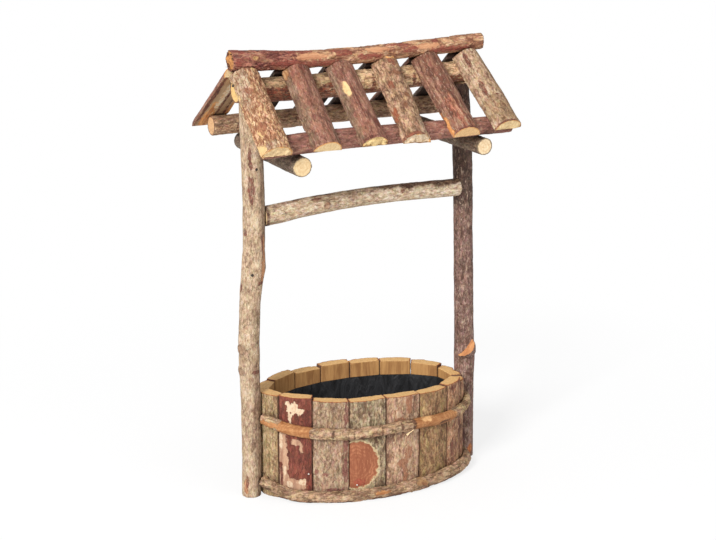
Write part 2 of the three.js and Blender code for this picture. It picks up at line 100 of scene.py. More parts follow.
def makeCamera(view):
    turn, tilt = math.radians(view["turn"]), math.radians(view["tilt"])
    back = Vector((-math.sin(turn) * math.cos(tilt), -math.cos(turn) * math.cos(tilt), math.sin(tilt)))
    camera = addObject("camera", bpy.data.cameras.new("camera"))
    camera.location = Vector(view["target"]) + back * view["distance"]
    camera.rotation_mode = "QUATERNION"
    camera.rotation_quaternion = back.to_track_quat("Z", "Y")
    camera.data.lens = view["lens"]
    camera.data.clip_start, camera.data.clip_end = view["clip"]
    bpy.context.scene.camera = camera


makeCamera(viewPoint)
print("camera done")


# Sets a node's inputs to values, or links them to the sockets that feed them
def feed(tree, node, inputs):
    for key, value in inputs.items():
        if isinstance(value, bpy.types.NodeSocket):
            tree.links.new(value, node.inputs[key])
        else:
            node.inputs[key].default_value = value


def addNode(tree, kind, inputs=None, **settings):
    node = tree.nodes.new(kind)
    for key, value in settings.items():
        setattr(node, key, value)
    feed(tree, node, inputs or {})
    return node


# A group's inputs are numbers with a start value, or vectors. It gives out values and colours.
def makeGroup(name, inputs, values, colours=()):
    tree = bpy.data.node_groups.new(name, "ShaderNodeTree")
    for label, value in inputs.items():
        kind = "NodeSocketVector" if value is None else "NodeSocketFloat"
        socket = tree.interface.new_socket(name=label, in_out="INPUT", socket_type=kind)
        if value is not None:
            socket.default_value = value
    for kind, labels in (("NodeSocketFloat", values), ("NodeSocketColor", colours)):
        for label in labels:
            tree.interface.new_socket(name=label, in_out="OUTPUT", socket_type=kind)
    return tree, tree.nodes.new("NodeGroupInput").outputs, tree.nodes.new("NodeGroupOutput")


def placeGroup(tree, group, inputs):
    return addNode(tree, "ShaderNodeGroup", inputs, node_tree=group).outputs


def maths(tree, operation, first, second=0.0, third=0.0):
    return addNode(tree, "ShaderNodeMath", {0: first, 1: second, 2: third}, operation=operation).outputs[0]


def vectorMaths(tree, operation, first, second):
    return addNode(tree, "ShaderNodeVectorMath", {0: first, 1: second}, operation=operation).outputs[0]


def lengthOf(tree, vector):
    return addNode(tree, "ShaderNodeVectorMath", {0: vector}, operation="LENGTH").outputs["Value"]


def stepBetween(tree, value, low, high, start=0.0, end=1.0, kind="SMOOTHSTEP"):
    return addNode(tree, "ShaderNodeMapRange", {
        "Value": value, "From Min": low, "From Max": high, "To Min": start, "To Max": end,
    }, interpolation_type=kind).outputs["Result"]


def stretched(tree, space, across, along):
    return vectorMaths(tree, "MULTIPLY", space, (across, across, along))


def noiseAt(tree, vector, scale, detail=2.0, roughness=0.5, distortion=0.0, output=0):
    return addNode(tree, "ShaderNodeTexNoise", {
        "Vector": vector, "Scale": scale, "Detail": detail, "Roughness": roughness, "Distortion": distortion,
    }).outputs[output]


def blend(tree, share, first, second, kind="MIX"):
    return addNode(tree, "ShaderNodeMix", {0: share, 6: first, 7: second}, data_type="RGBA",
                   blend_type=kind).outputs[2]


def blendValues(tree, share, first, second):
    return addNode(tree, "ShaderNodeMix", {0: share, 2: first, 3: second}, data_type="FLOAT").outputs[0]


def ramp(tree, value, places, colours):
    node = addNode(tree, "ShaderNodeValToRGB", {"Fac": value})
    points = node.color_ramp.elements
    while len(points) < len(places):
        points.new(0.5)
    for point, place, colour in zip(points, places, colours):
        point.position = place
        point.color = colour
    return node.outputs["Color"]


def objectSpace(tree):
    return addNode(tree, "ShaderNodeTexCoord").outputs["Object"]


def newMaterial(name):
    material = bpy.data.materials.new(name)
    material.use_nodes = True
    return material, material.node_tree


# Colour and roughness are sockets or values, the bump's depth is in millimetres
def feedShader(tree, colour, roughness, height, strength, depth, **others):
    bump = addNode(tree, "ShaderNodeBump", {"Height": height, "Strength": strength, "Distance": depth * mm})
    feed(tree, tree.nodes["Principled BSDF"], {
        "Base Color": colour, "Roughness": roughness, "Normal": bump.outputs["Normal"], **others})


# Bark: slow mottling, flakes, fine fibres along the log and dark cracks. Space is in metres, Z along.
def makeBarkPattern():
    tree, given, made = makeGroup("barkPattern", {
        "Space": None, "Mottle Scale": 70.0, "Flake Scale": 230.0, "Crack Width": 0.08,
    }, ("Mottle", "Accent", "Flake", "Streak", "Fibre", "Crack", "Speck", "Cross", "Grit"), ("Tinge",))
    space = given["Space"]
    gentle = stretched(tree, space, 1.0, 0.45)
    shifted = vectorMaths(tree, "ADD", gentle, (3.1, 1.7, 0.6))
    halfScale = maths(tree, "MULTIPLY", given["Mottle Scale"], 0.55)
    wobble = vectorMaths(tree, "MULTIPLY", noiseAt(tree, space, 160.0, output=1), (0.0035, 0.0035, 0.0035))
    wavy = vectorMaths(tree, "ADD", space, wobble)
    plates = {"Vector": stretched(tree, wavy, 1.0, 0.4), "Scale": given["Flake Scale"]}
    cells = addNode(tree, "ShaderNodeTexVoronoi", plates).outputs["Color"]
    edges = addNode(tree, "ShaderNodeTexVoronoi", plates, feature="DISTANCE_TO_EDGE").outputs["Distance"]
    gap = stepBetween(tree, edges, 0.0, given["Crack Width"], 1.0, 0.0, "LINEAR")
    broken = stepBetween(tree, noiseAt(tree, gentle, 210.0, 3.0), 0.42, 0.55)
    across = noiseAt(tree, stretched(tree, wavy, 0.16, 1.0), 560.0)
    feed(tree, made, {
        "Mottle": noiseAt(tree, gentle, given["Mottle Scale"], 4.0, 0.62, 0.4),
        "Accent": noiseAt(tree, shifted, halfScale, 5.0, 0.66, 0.8),
        "Flake": addNode(tree, "ShaderNodeSeparateColor", {"Color": cells}).outputs[0],
        "Crack": maths(tree, "MULTIPLY", gap, broken),
        "Grit": noiseAt(tree, stretched(tree, wavy, 1.0, 0.6), 360.0, 3.0, 0.75),
        "Streak": noiseAt(tree, stretched(tree, wavy, 1.0, 0.12), 330.0, 3.0, 0.6),
        "Fibre": noiseAt(tree, stretched(tree, wavy, 1.0, 0.14), 800.0, 3.0, 0.7),
        "Speck": stepBetween(tree, noiseAt(tree, gentle, 480.0, 3.0, 0.65), 0.56, 0.68),
        "Cross": stepBetween(tree, across, 0.62, 0.7),
        "Tinge": noiseAt(tree, stretched(tree, wavy, 1.0, 0.55), 300.0, 3.0, 0.7, output=1),
    })
    return tree


# A sawn end: growth rings round the heart, drying cracks across them, and the bark's own edge.
def makeEndGrain():
    tree, given, made = makeGroup("endGrain", {
        "Space": None, "Heart": None, "Rings": 900.0, "Bark Reach": 0.0,
    }, ("Ring", "Check", "Rim", "Saw"))
    around = vectorMaths(tree, "SUBTRACT", stretched(tree, given["Space"], 1.0, 0.0), given["Heart"])
    reach = lengthOf(tree, around)
    drift = maths(tree, "MULTIPLY", noiseAt(tree, around, 160.0, 3.0), 0.006)
    turns = maths(tree, "MULTIPLY", maths(tree, "ADD", reach, drift), given["Rings"])
    wave = maths(tree, "SINE", maths(tree, "MULTIPLY", turns, 2 * math.pi))
    parts = addNode(tree, "ShaderNodeSeparateXYZ", {0: around}).outputs
    spokes = addNode(tree, "ShaderNodeCombineXYZ", {
        "X": maths(tree, "ARCTAN2", parts[1], parts[0]), "Y": maths(tree, "MULTIPLY", reach, 30.0),
    }).outputs[0]
    ragged = maths(tree, "MULTIPLY", noiseAt(tree, given["Space"], 500.0, 3.0), 0.002)
    rim = maths(tree, "SUBTRACT", given["Bark Reach"], ragged)
    saw = vectorMaths(tree, "MULTIPLY", given["Space"], (1.0, 0.08, 0.08))
    feed(tree, made, {
        "Ring": maths(tree, "MULTIPLY_ADD", wave, 0.5, 0.5),
        "Check": stepBetween(tree, noiseAt(tree, spokes, 3.5, 3.0, 0.6), 0.66, 0.74),
        "Rim": stepBetween(tree, rim, 0.0, 0.0007, 1.0, 0.0, "LINEAR"),
        "Saw": noiseAt(tree, saw, 1400.0),
    })
    return tree


# Wood split along the grain: long streaks and fine fibres.
def makeSplitGrain():
    tree, given, made = makeGroup("splitGrain", {"Space": None}, ("Streak", "Fibre"))
    feed(tree, made, {
        "Streak": noiseAt(tree, stretched(tree, given["Space"], 1.0, 0.12), 170.0, 4.0, 0.6, 0.5),
        "Fibre": noiseAt(tree, stretched(tree, given["Space"], 1.0, 0.05), 1300.0, 3.0, 0.6),
    })
    return tree


# A mark's field is how many millimetres a place lies inside it. Noise breaks the edge up.
def makeBrokenEdge():
    tree, given, made = makeGroup("brokenEdge", {
        "Field": 0.0, "Space": None, "Break": 5.0, "Softness": 0.5,
    }, ("Mask",))
    rough = noiseAt(tree, stretched(tree, given["Space"], 1.0, 0.6), 380.0, 4.0, 0.7)
    shift = maths(tree, "MULTIPLY", maths(tree, "SUBTRACT", rough, 0.5), given["Break"])
    field = maths(tree, "ADD", given["Field"], shift)
    low = maths(tree, "MULTIPLY", given["Softness"], -1.0)
    feed(tree, made, {"Mask": stepBetween(tree, field, low, given["Softness"])})
    return tree


barkPattern, endGrain = makeBarkPattern(), makeEndGrain()
splitGrain, brokenEdge = makeSplitGrain(), makeBrokenEdge()
print("shader groups done")

# What a finish has unless a piece says otherwise. Lengths are in millimetres.
plainLook = {
    "bark": [(118, 88, 66), (158, 126, 98), (184, 154, 122), (206, 180, 148)],
    "zone": [(80, 62, 50), (112, 90, 72), (138, 114, 92), (160, 136, 112)],  # a second tone: bark of another colour on some pieces, painted shade on others
    # reliefShade paints shade: the bark is darker where its relief sinks and paler where it rises.
    "mottle": 0.3, "grit": 0.9, "streak": 0.4, "fibre": 0.5, "flakeTone": 0.1, "reliefShade": 0.12,
    "lean": 0.0,  # how much paler it grows along the log
    "accent": (150, 100, 76), "accentShare": 0.2, "accentFrom": 0.55,
    # deep colours the bark's cracks; valley is the share of painted shade, in deep, laid in the relief's low
    # places.
    "tinge": 0.32, "deep": (84, 54, 40), "crack": 0.35, "valley": 0.5,
    "speck": (212, 192, 164), "speckShare": 0.25, "cross": (96, 72, 56), "crossShare": 0.0,
    "mottleScale": 90.0, "flakeScale": 230.0, "crackWidth": 0.08,
    "peel": (200, 136, 84), "peelDark": (160, 96, 58), "peelRings": 0.0, "bare": (224, 196, 150),
    "stain": (112, 60, 48), "stainDark": (76, 38, 32), "rim": (214, 188, 146), "rimShare": 0.0,
    "knotCore": (120, 78, 54), "knotShare": 0.5, "coreShare": 0.75, "edgeBreak": 5.0, "uneven": 1.0,
    "end": (214, 190, 148), "endDark": (184, 146, 100), "heart": (160, 112, 70), "ringScale": 270.0,
    "endRagged": 0.3, "hollow": None, "isHeadInPaintedShade": False, "sawnFace": None,
    "split": (196, 156, 108), "splitDark": (146, 106, 70), "innerBark": (112, 76, 54),
    "groove": 0.3, "grooveScale": 0.34, "grooveStretch": 6.0, "zoneGroove": 1.0,
    "lump": 0.35, "flake": 0.2, "flakeSize": 5.0, "swell": 0.0,
    "marks": {}, "splitMarks": {},
}
barkStops = (0.3, 0.45, 0.57, 0.74)  # where the four bark tones lie between dark and pale


def look(base=plainLook, **changes):
    return {**base, **changes}


def barkMaterial(name, givenLook, heart):
    finish = {key: inLight(value) for key, value in givenLook.items()}
    material, tree = newMaterial(name)

    def reading(attribute, output="Fac"):
        return addNode(tree, "ShaderNodeAttribute", attribute_name=attribute).outputs[output]

    def times(first, second):
        return maths(tree, "MULTIPLY", first, second)

    def plus(first, share, second):
        return maths(tree, "MULTIPLY_ADD", first, share, second)

    def step(value, low, high):
        return stepBetween(tree, value, low, high)

    def edged(field, broken):
        return placeGroup(tree, brokenEdge, {"Field": field, "Space": space, "Break": broken})["Mask"]

    # Lays a colour of the look over another where the mask is, all of it or a share
    def over(under, mask, colour, share=1.0):
        return blend(tree, mask if share == 1.0 else times(mask, share), under, finish[colour])

    space, relief = reading("logSpace", "Vector"), reading("relief")
    bark = placeGroup(tree, barkPattern, {
        "Space": space, "Mottle Scale": finish["mottleScale"], "Flake Scale": finish["flakeScale"],
        "Crack Width": finish["crackWidth"],
    })
    tint = 0.5
    for value, weight in (("Mottle", "mottle"), ("Grit", "grit"), ("Streak", "streak"), ("Fibre", "fibre"),
                          ("Flake", "flakeTone")):
        tint = plus(maths(tree, "SUBTRACT", bark[value], 0.5), finish[weight], tint)
    # Painted shade: darker where the relief sinks, paler where it rises
    tint = plus(relief, finish["reliefShade"], tint)
    tint = plus(maths(tree, "SUBTRACT", reading("share"), 0.5), finish["lean"], tint)
    colour = ramp(tree, tint, barkStops, finish["bark"])
    second = ramp(tree, tint, barkStops, finish["zone"])
    drift = times(maths(tree, "SUBTRACT", bark["Mottle"], 0.5), 12.0)
    colour = blend(tree, step(maths(tree, "ADD", reading("zone"), drift), -1.2, 2.2), colour, second)
    accent = step(bark["Accent"], finish["accentFrom"], finish["accentFrom"] + 0.08)
    colour = over(colour, accent, "accent", finish["accentShare"])
    colour = blend(tree, finish["tinge"], colour, bark["Tinge"], "OVERLAY")
    colour = over(colour, bark["Speck"], "speck", finish["speckShare"])
    colour = over(colour, bark["Cross"], "cross", finish["crossShare"])
    colour = over(colour, bark["Crack"], "deep", finish["crack"])
    # Painted shade in the relief's low places: grooves, and a stave's rounded long edges where staves meet
    colour = over(colour, step(relief, -0.15, -0.9), "deep", finish["valley"])

    # Split wood
    split = placeGroup(tree, splitGrain, {"Space": space})
    plank = blend(tree, step(split["Streak"], 0.3, 0.7), finish["splitDark"], finish["split"])
    plank = over(plank, split["Fibre"], "splitDark", 0.3)
    splitMask = step(reading("splitCut"), 0.4, 0.6)
    colour = blend(tree, splitMask, colour, plank)

    # Peeled and bare places, stains, some of which are painted shade, and knots
    masks = {key: edged(reading(key), finish["edgeBreak"])
             for key in ("peel", "bare", "stain", "knot", "hollow")}
    inside = reading("peel")
    colour = over(colour, edged(maths(tree, "ADD", inside, 2.2), 3.0), "rim", finish["rimShare"])
    inner = blend(tree, step(split["Streak"], 0.35, 0.65), finish["peelDark"], finish["peel"])
    inner = over(inner, step(bark["Fibre"], 0.5, 0.7), "bare", 0.5)
    inner = over(inner, step(bark["Grit"], 0.5, 0.7), "peelDark", 0.8)
    rings = maths(tree, "SINE", plus(bark["Mottle"], 9.0, times(inside, 1.5)))
    inner = over(inner, plus(rings, 0.5, 0.5), "peelDark", finish["peelRings"])
    colour = blend(tree, masks["peel"], colour, inner)
    chipped = blend(tree, step(bark["Grit"], 0.45, 0.7), finish["bare"], finish["peel"])
    colour = blend(tree, masks["bare"], colour, chipped)
    stainedOrShaded = blend(tree, step(bark["Grit"], 0.4, 0.6), finish["stain"], finish["stainDark"])
    worn = plus(step(bark["Fibre"], 0.62, 0.45), 0.36, 0.58)
    colour = blend(tree, times(masks["stain"], worn), colour, stainedOrShaded)
    colour = over(colour, masks["knot"], "stainDark", finish["knotShare"])
    core = edged(maths(tree, "SUBTRACT", reading("knot"), 1.5), 3.0)
    colour = over(colour, core, "knotCore", finish["coreShare"])

    # Sawn ends
    sawn = placeGroup(tree, endGrain, {
        "Space": space, "Heart": heart, "Rings": finish["ringScale"], "Bark Reach": reading("barkReach"),
    })
    disc = blend(tree, times(sawn["Ring"], 0.32), finish["end"], finish["endDark"])
    disc = over(disc, step(sawn["Saw"], 0.45, 0.7), "endDark", 0.4)
    disc = over(disc, step(bark["Grit"], 0.5, 0.66), "endDark", 0.6)
    disc = over(disc, sawn["Check"], "heart", 0.5)
    disc = over(disc, sawn["Rim"], "innerBark")
    disc = over(disc, masks["hollow"], "heart")
    endMask = step(reading("endCut"), 0.4, 0.6)
    colour = blend(tree, endMask, colour, disc)

    roughness = plus(endMask, -0.08, plus(bark["Mottle"], 0.2, 0.7))
    barkHeight = plus(bark["Fibre"], 0.6, times(bark["Flake"], 0.3))
    barkHeight = plus(bark["Grit"], 1.2, plus(bark["Crack"], -0.7, barkHeight))
    woodHeight = plus(split["Fibre"], 0.35, times(split["Streak"], 0.3))
    endHeight = plus(sawn["Saw"], 0.2, times(sawn["Ring"], 0.08))
    bareMask = maths(tree, "MAXIMUM", maths(tree, "MAXIMUM", masks["peel"], masks["bare"]), splitMask)
    height = blendValues(tree, endMask, blendValues(tree, bareMask, barkHeight, woodHeight), endHeight)
    feedShader(tree, colour, roughness, height, 0.9, 0.9, **{"Specular IOR Level": 0.3})
    return material


# How all bark is shaped, in millimetres
barkForm = {
    "voxel": 1.0,
    "endReach": 4, "staveHeadReach": 12,  # a sawn end is looked for so near the log's end
    "outside": -6.0, "deepest": 20,  # a mark's field is kept between these
    "depths": {"peel": -0.6, "bare": -0.7, "stain": -0.2},
    "knotRise": 1.3, "knotDip": 1.2, "hollowDepth": 3.0,
    "grooveWidth": 0.11,  # of its noise
}


# A dense copy of a frame piece, whose triangles are merged first, ready for its bark to be shaped
def denseCopy(node):
    rough = bpy.data.meshes.new(node + "_rough")
    bm = bmesh.new()
    bm.from_mesh(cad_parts[node].data)
    bmesh.ops.remove_doubles(bm, verts=bm.verts, dist=0.01 * mm)
    bm.to_mesh(rough)
    bm.free()
    piece = addObject(node + "_bark", rough)
    remesh = piece.modifiers.new("remesh", "REMESH")
    remesh.mode = "VOXEL"
    remesh.voxel_size = barkForm["voxel"] * mm
    depsgraph = bpy.context.evaluated_depsgraph_get()
    piece.data = bpy.data.meshes.new_from_object(piece.evaluated_get(depsgraph), depsgraph=depsgraph)
    piece.modifiers.clear()
    piece.data.name = node + "_bark"
    bpy.data.meshes.remove(rough)
    return piece


def vectorsOf(items, key):
    flat = np.zeros(len(items) * 3, np.float32)
    items.foreach_get(key, flat)
    return flat.reshape(-1, 3).astype(float)


# A log's own space: across it, out of it and along it from its start, in millimetres.
def straightSpace(node, along, out, isPlumb=False):
    points = vectorsOf(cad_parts[node].data.vertices, "co")
    reach = points @ np.array(along)
    if isPlumb:
        start = Vector(points.mean(0))
        start.z = points[:, 2].min()
        axis = Vector(along)
    else:
        start = Vector(points[reach < reach.min() + 3 * mm].mean(0))
        axis = (Vector(points[reach > reach.max() - 3 * mm].mean(0)) - start).normalized()
    outward = (Vector(out) - axis * Vector(out).dot(axis)).normalized()
    basis = np.array([axis.cross(outward), outward, axis])

    def toLog(places, normals):
        return (places - np.array(start)) @ basis.T / mm, normals @ basis.T

    return toLog


# The basin's oval, by its half sizes in millimetres and its turn in degrees
basin = {"length": 126.0, "width": 71.0, "turn": -3}
boardPoints = vectorsOf(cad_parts["bottom_board"].data.vertices, "co")[:, :2]
basinMiddle = (boardPoints.min(0) + boardPoints.max(0)) / 2


# The hoops' space follows that oval: up, out and round it.
def hoopSpace():
    ovalLength, ovalWidth = basin["length"], basin["width"]
    steps = np.linspace(-math.pi, math.pi, 721)
    edge = np.stack([ovalLength * np.cos(steps), ovalWidth * np.sin(steps)], 1)
    run = np.concatenate([[0], np.cumsum(np.hypot(*np.diff(edge, axis=0).T))])
    cosTurn, sinTurn = math.cos(-math.radians(basin["turn"])), math.sin(-math.radians(basin["turn"]))
    turned = np.array([[cosTurn, -sinTurn], [sinTurn, cosTurn]])

    def toLog(places, normals):
        flat = (places[:, :2] - basinMiddle) @ turned.T / mm
        angle = np.arctan2(flat[:, 1] / ovalWidth, flat[:, 0] / ovalLength)
        outward = np.stack([flat[:, 0] / ovalLength ** 2, flat[:, 1] / ovalWidth ** 2], 1)
        outward /= np.linalg.norm(outward, axis=1)[:, None]
        foot = np.stack([ovalLength * np.cos(angle), ovalWidth * np.sin(angle)], 1)
        out = ((flat - foot) * outward).sum(1)
        flatNormals = normals[:, :2] @ turned.T
        normalOut = (flatNormals * outward).sum(1)
        normalAlong = flatNormals[:, 1] * outward[:, 0] - flatNormals[:, 0] * outward[:, 1]
        local = np.stack([places[:, 2] / mm, out, np.interp(angle, steps, run)], 1)
        return local, np.stack([normals[:, 2], normalOut, normalAlong], 1)

    return toLog


def smoothStep(values, low, high):
    share = np.clip((values - low) / (high - low), 0, 1)
    return share * share * (3 - 2 * share)


# How many millimetres each point lies inside the marks of one kind, with uneven edges
def markField(marks, local, isRound, uneven):
    field = np.full(len(local), barkForm["outside"])
    radius = np.hypot(local[:, 0], local[:, 1])
    angle = np.arctan2(local[:, 0], local[:, 1])
    for along, aside, length, width in marks:
        if isRound:
            gap = (angle - math.radians(aside) + math.pi) % (2 * math.pi) - math.pi
            across = radius * gap
        else:
            across = local[:, 0] - aside
        reach = np.hypot((local[:, 2] - along) / (length / 2), across / (width / 2))
        size = min(length, width) / 2
        field = np.maximum(field, (1 - reach) * size + uneven * min(0.5 * size, 2.5))
    return np.clip(field, barkForm["outside"], barkForm["deepest"])


# Where a log is sawn across, where it is split along, and where a stave's long edges are rounded
def cutMasks(local, facing, finish, kind):
    length = local[:, 2].max()
    headReach = barkForm["staveHeadReach" if kind == "stave" else "endReach"]
    nearEnd = (local[:, 2] < barkForm["endReach"]) | (local[:, 2] > length - headReach)
    endCut = smoothStep(np.where(nearEnd, np.abs(facing[:, 2]), 0), 0.5, 0.85)
    splitCut = np.zeros(len(local))
    if kind in ("slat", "hoop"):
        splitCut = smoothStep(-facing[:, 1], 0.6, 0.85)
    if kind == "stave":
        splitCut = smoothStep(-facing[:, 1], 0.55, 0.8)
    # Painted shade: a shaded head's sawn end takes the dark split colour instead of the end colour.
    if finish["isHeadInPaintedShade"]:
        head = endCut * (local[:, 2] > length / 2)
        splitCut, endCut = np.maximum(splitCut, head), endCut - head
    splitCut *= 1 - endCut
    edge = smoothStep(np.abs(facing[:, 0]), 0.6, 0.85) * (local[:, 1] < 3) * (kind == "stave")
    if finish["sawnFace"]:
        face = finish["sawnFace"]
        within = (local[:, 2] > face["low"]) & (local[:, 2] < face["high"])
        splitCut = np.maximum(splitCut, smoothStep(facing @ np.array(face["looks"]), 0.9, 0.97) * within)
    return endCut, splitCut, edge


# Noise at each point: grooves along the log, slow lumps, flakes, and two more for uneven edges
def barkNoise(local, finish, seed):
    groove, lump, flakes, ragged, wide = (np.zeros(len(local)) for _ in range(5))
    grain = finish["grooveScale"]
    shift = Vector((seed * 37.7, seed * 11.3, seed * 71.9))
    for i, (across, out, along) in enumerate(local):
        place = Vector((across, out, along)) + shift
        groove[i] = noise.noise(Vector((place.x * grain, place.y * grain,
                                        place.z * grain / finish["grooveStretch"])))
        lump[i] = noise.noise(place * 0.07)
        ragged[i] = noise.noise(place * 0.45)
        wide[i] = noise.noise(place * 0.18)
        if finish["flake"]:
            wavy = place + noise.noise_vector(place * 0.2) * 2.5
            wavy.z *= 0.4
            cell = noise.voronoi(wavy / finish["flakeSize"])[1][0]
            flakes[i] = noise.cell(cell * 7.3)
    return groove, lump, flakes, ragged, wide


def markFields(local, finish, kind, endCut, splitCut, uneven):
    fields = {}
    for mark in ("peel", "bare", "stain", "knot", "zone"):
        onBark = markField(finish["marks"].get(mark, ()), local, kind == "log", uneven)
        onSplit = markField(finish["splitMarks"].get(mark, ()), local, False, uneven)
        fields[mark] = np.where(splitCut > 0.4, onSplit, onBark)
    fields["hollow"] = np.full(len(local), barkForm["outside"])
    if finish["hollow"]:
        hollow = finish["hollow"]
        reach = np.hypot((local[:, 0] - hollow["across"]) / (hollow["width"] / 2),
                         (local[:, 1] - hollow["out"]) / (hollow["height"] / 2))
        inside = (1 - reach) * min(hollow["width"], hollow["height"]) / 2
        fields["hollow"] = np.where(endCut > 0.2, inside, barkForm["outside"])
    return fields


# How far each sawn point is from the nearest bark, in metres
def reachToBark(points, barkOnly, endCut):
    reach = np.zeros(len(points))
    barkIndex = np.nonzero(barkOnly > 0.8)[0]
    cutIndex = np.nonzero(endCut > 0.2)[0]
    if len(barkIndex) and len(cutIndex):
        tree = kdtree.KDTree(len(barkIndex))
        for i in barkIndex:
            tree.insert(points[i], int(i))
        tree.balance()
        for i in cutIndex:
            reach[i] = tree.find(points[i])[2]
    return reach


# Shapes the bark of one piece and stores what its finish reads. Moves are mostly inwards.
def shapeBark(mesh, toLog, finish, kind, seed):
    points, normals = vectorsOf(mesh.vertices, "co"), vectorsOf(mesh.vertex_normals, "vector")
    local, facing = toLog(points, normals)
    endCut, splitCut, edge = cutMasks(local, facing, finish, kind)
    barkOnly = (1 - endCut) * (1 - splitCut)
    groove, lump, flakes, ragged, wide = barkNoise(local, finish, seed)
    uneven = (0.5 * ragged + wide) * finish["uneven"]
    fields = markFields(local, finish, kind, endCut, splitCut, uneven)

    strength = finish["groove"] * (1 + (finish["zoneGroove"] - 1) * smoothStep(fields["zone"], -2, 2))
    valley = np.exp(-(groove / barkForm["grooveWidth"]) ** 2)
    move = -strength * valley + finish["lump"] * (lump - 0.3) + finish["flake"] * (flakes - 0.8)
    # The relief is stored for the finish, which paints shade where it sinks; a stave's rounded long edges
    # sink most, for the dark gaps between staves.
    relief = -valley * np.minimum(strength * 1.3, 1) + 0.4 * flakes + 0.5 * lump - 2 * edge
    relief = np.clip(relief, -1, 1) * barkOnly
    for mark, depth in barkForm["depths"].items():
        inside = smoothStep(fields[mark], -0.4, 0.5)
        move = move * (1 - 0.7 * inside) + depth * inside
    collar, hole = smoothStep(fields["knot"], -1.5, 1.2), smoothStep(fields["knot"], 1.8, 3.2)
    move += barkForm["knotRise"] * collar - barkForm["knotDip"] * hole
    move = (move + finish["swell"]) * barkOnly + 0.3 * edge
    move += splitCut * (-0.15 + 0.35 * lump + 0.15 * groove)
    tattered = finish["endRagged"] * np.clip(0.5 + 1.4 * wide + 0.6 * ragged, 0, 1)
    move += endCut * (-0.1 + 0.15 * ragged - tattered)
    move -= endCut * barkForm["hollowDepth"] * smoothStep(fields["hollow"], -1, 2)
    points = np.clip(points + normals * (move * mm)[:, None], np.array(cadLow), np.array(cadHigh))
    mesh.vertices.foreach_set("co", points.astype(np.float32).ravel())

    store = {"relief": relief, "endCut": endCut, "splitCut": splitCut,
             "barkReach": reachToBark(points, barkOnly, endCut),
             "share": local[:, 2] / local[:, 2].max(), **fields}
    for name, values in store.items():
        layer = mesh.attributes.new(name, "FLOAT", "POINT")
        layer.data.foreach_set("value", values.astype(np.float32))
    layer = mesh.attributes.new("logSpace", "FLOAT_VECTOR", "POINT")
    own = local * mm
    own[:, 2] += seed * 0.731  # so that no two pieces share a pattern
    layer.data.foreach_set("vector", own.astype(np.float32).ravel())
    mesh.polygons.foreach_set("use_smooth", [True] * len(mesh.polygons))
    mesh.update()


def dressLog(node, finish, kind, toLog, seed, heart=(0.0, 0.0, 0.0)):
    piece = denseCopy(node)
    shapeBark(piece.data, toLog, finish, kind, seed)
    piece.data.materials.clear()
    piece.data.materials.append(barkMaterial(node + "_finish", finish, heart))
    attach(piece, "root")
    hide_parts(node)


